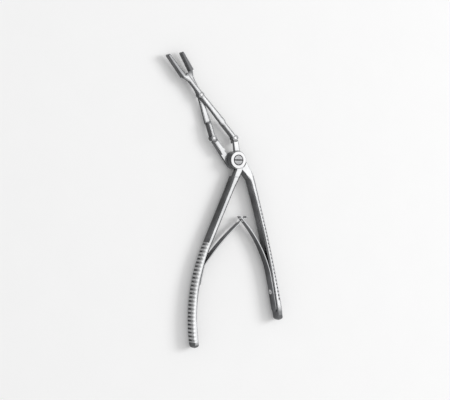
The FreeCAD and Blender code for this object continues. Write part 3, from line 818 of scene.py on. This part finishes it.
# %% Table top
TABLE_SIZE, UNDER_THE_PART = 4.0, 0.05 * MM
TABLE_ROUGHNESS, TABLE_SPECULAR, SPECKLE_SCALE = 0.9, 0.1, 40.0
PALE_TONES = ((0.955, 0.955, 0.955, 1), (0.975, 0.975, 0.975, 1))
leave_all()
bpy.ops.mesh.primitive_plane_add(size=TABLE_SIZE, location=(0, 0, -UNDER_THE_PART))
table_top = bpy.context.object
table_top.name = "table_top"
pale_paint = bpy.data.materials.new("Pale table")
pale_paint.use_nodes = True
tree = pale_paint.node_tree
shader = tree.nodes["Principled BSDF"]
shader.inputs["Roughness"].default_value = TABLE_ROUGHNESS
shader.inputs["Specular IOR Level"].default_value = TABLE_SPECULAR
place = texture_place(tree)["Object"]
speckle = add_node(tree, "ShaderNodeTexNoise", {"Vector": place, "Scale": SPECKLE_SCALE}).outputs["Fac"]
pale = two_tones(tree, speckle, 0.0, PALE_TONES[0], 1.0, PALE_TONES[1])
tree.links.new(pale, shader.inputs["Base Color"])
table_top.data.materials.append(pale_paint)
print("table top at", table_top.location.z)

# %% [markdown]
# ## Lamps
# Polished steel shows its surroundings more than its own colour, so the lamps are placed by what
# the faces mirror. A large soft key lamp stands low on the right. Its shadow falls to the left, and
# the left sides of the steel mirror that shadow, which, with the painted shade in the steels' side
# tones, draws the dark sides. A weak sheen lamp hangs where the flat upper faces mirror it towards the
# camera, and gives them an even shine.

# %% Lamps
FOCUS = Vector((-0.0063, -0.0279, 0.001))
LAMPS = {
    "Key lamp": {"towards": (0.78, 0.2, 0.6), "distance": 4.0, "width": 1.5, "watts": 62.0},
    "Sheen lamp": {"towards": (0.5, 0.05, 0.86), "distance": 1.2, "width": 1.1, "watts": 2.6},
}
for name, plan in LAMPS.items():
    data = bpy.data.lights.new(name, "AREA")
    data.shape = "SQUARE"
    data.size = plan["width"]
    data.energy = plan["watts"]
    lamp = bpy.data.objects.new(name, data)
    bpy.context.scene.collection.objects.link(lamp)
    heading = Vector(plan["towards"]).normalized()
    lamp.location = FOCUS + heading * plan["distance"]
    lamp.rotation_euler = heading.to_track_quat("Z", "Y").to_euler()
    print(name, "at", tuple(round(part, 2) for part in lamp.location))

# %% [markdown]
# ## Surroundings
# The surroundings are white to the camera and to mirror-like steel. At that strength they would
# wash out the dull surfaces, so those get less. Light Path tells which ray is asking, and a Mix
# Shader picks the background for it.

# %% World
AMBIENT, BACKDROP = 0.61, 1.0
world = bpy.data.worlds.new("Studio")
bpy.context.scene.world = world
world.use_nodes = True
tree = world.node_tree
ambient = tree.nodes["Background"]
ambient.inputs["Color"].default_value = (1, 1, 1, 1)
ambient.inputs["Strength"].default_value = AMBIENT
backdrop = add_node(tree, "ShaderNodeBackground", {"Color": (1, 1, 1, 1), "Strength": BACKDROP})
path = add_node(tree, "ShaderNodeLightPath", {}).outputs
clear = compute(tree, "MAXIMUM", path["Is Camera Ray"], path["Is Glossy Ray"])
clear = compute(tree, "MAXIMUM", clear, path["Is Transmission Ray"])
choose = add_node(tree, "ShaderNodeMixShader", {
    0: clear, 1: ambient.outputs["Background"], 2: backdrop.outputs["Background"]})
tree.links.new(choose.outputs["Shader"], tree.nodes["World Output"].inputs["Surface"])
bpy.context.scene.view_settings.view_transform = "Standard"
print("ambient", AMBIENT, "backdrop", BACKDROP)

# %% [markdown]
# ## Camera
# The photograph looks down on the instrument from its left, 28 degrees off the vertical, from far
# away. A camera without perspective would do, but a long lens from a metre off gives the same flat
# look and behaves as a real one in the other views.

# %% Camera
TILT = math.radians(28)
DISTANCE, FRAME_WIDTH, SENSOR = 1.0, 0.306, 36
AIM = Vector((-0.0063, -0.0271, 0.00105))
camera_data = bpy.data.cameras.new("Camera")
camera_data.sensor_width = SENSOR
camera_data.lens = SENSOR * DISTANCE / FRAME_WIDTH
camera_data.clip_end = 20
camera = bpy.data.objects.new("Camera", camera_data)
bpy.context.scene.collection.objects.link(camera)
camera.location = AIM + Vector((-math.sin(TILT), 0, math.cos(TILT))) * DISTANCE
camera.rotation_euler = (0, -TILT, 0)
bpy.context.scene.camera = camera
print("camera at", tuple(round(part, 3) for part in camera.location))
